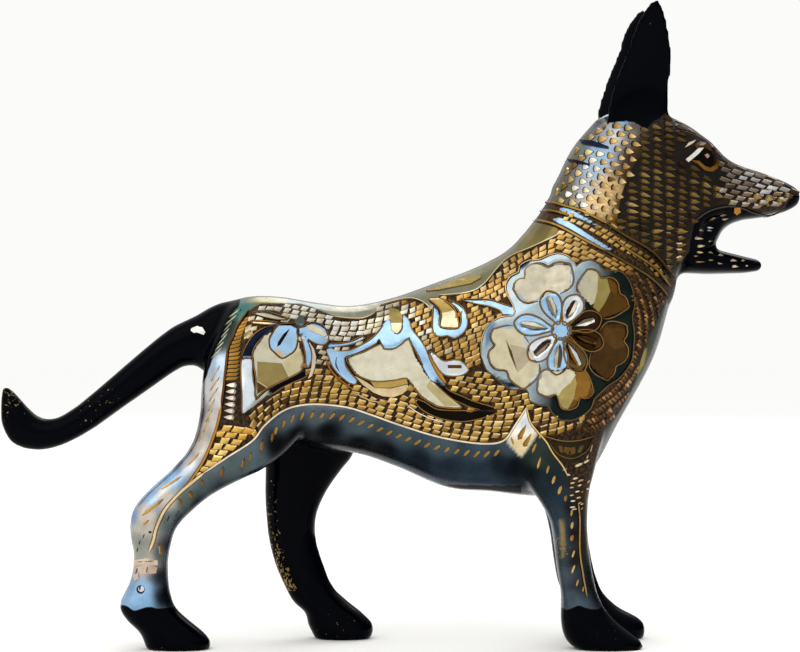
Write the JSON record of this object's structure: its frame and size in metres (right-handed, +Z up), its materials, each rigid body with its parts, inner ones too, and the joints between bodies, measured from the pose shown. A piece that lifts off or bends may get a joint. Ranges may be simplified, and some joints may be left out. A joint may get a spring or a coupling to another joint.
{
  "type": "dog figurine",
  "caption": "Cast brass figurine of a standing shepherd dog with pricked ears, an open mouth and flower carving on its flanks.",
  "frame": {"origin": "middle of the dog's length and width, on the surface that its four paws stand on", "axes": "+X towards the nose, +Z up, +Y to the dog's left"},
  "size_m": [0.1996, 0.0356, 0.1596],
  "materials": {
    "cast_brass": "cast brass, tinned and engraved on the body, black lacquer on the head, ears, tail and legs"
  },
  "bodies": {
    "root": {"dog_casting": "cast_brass"}
  },
  "joints": []
}
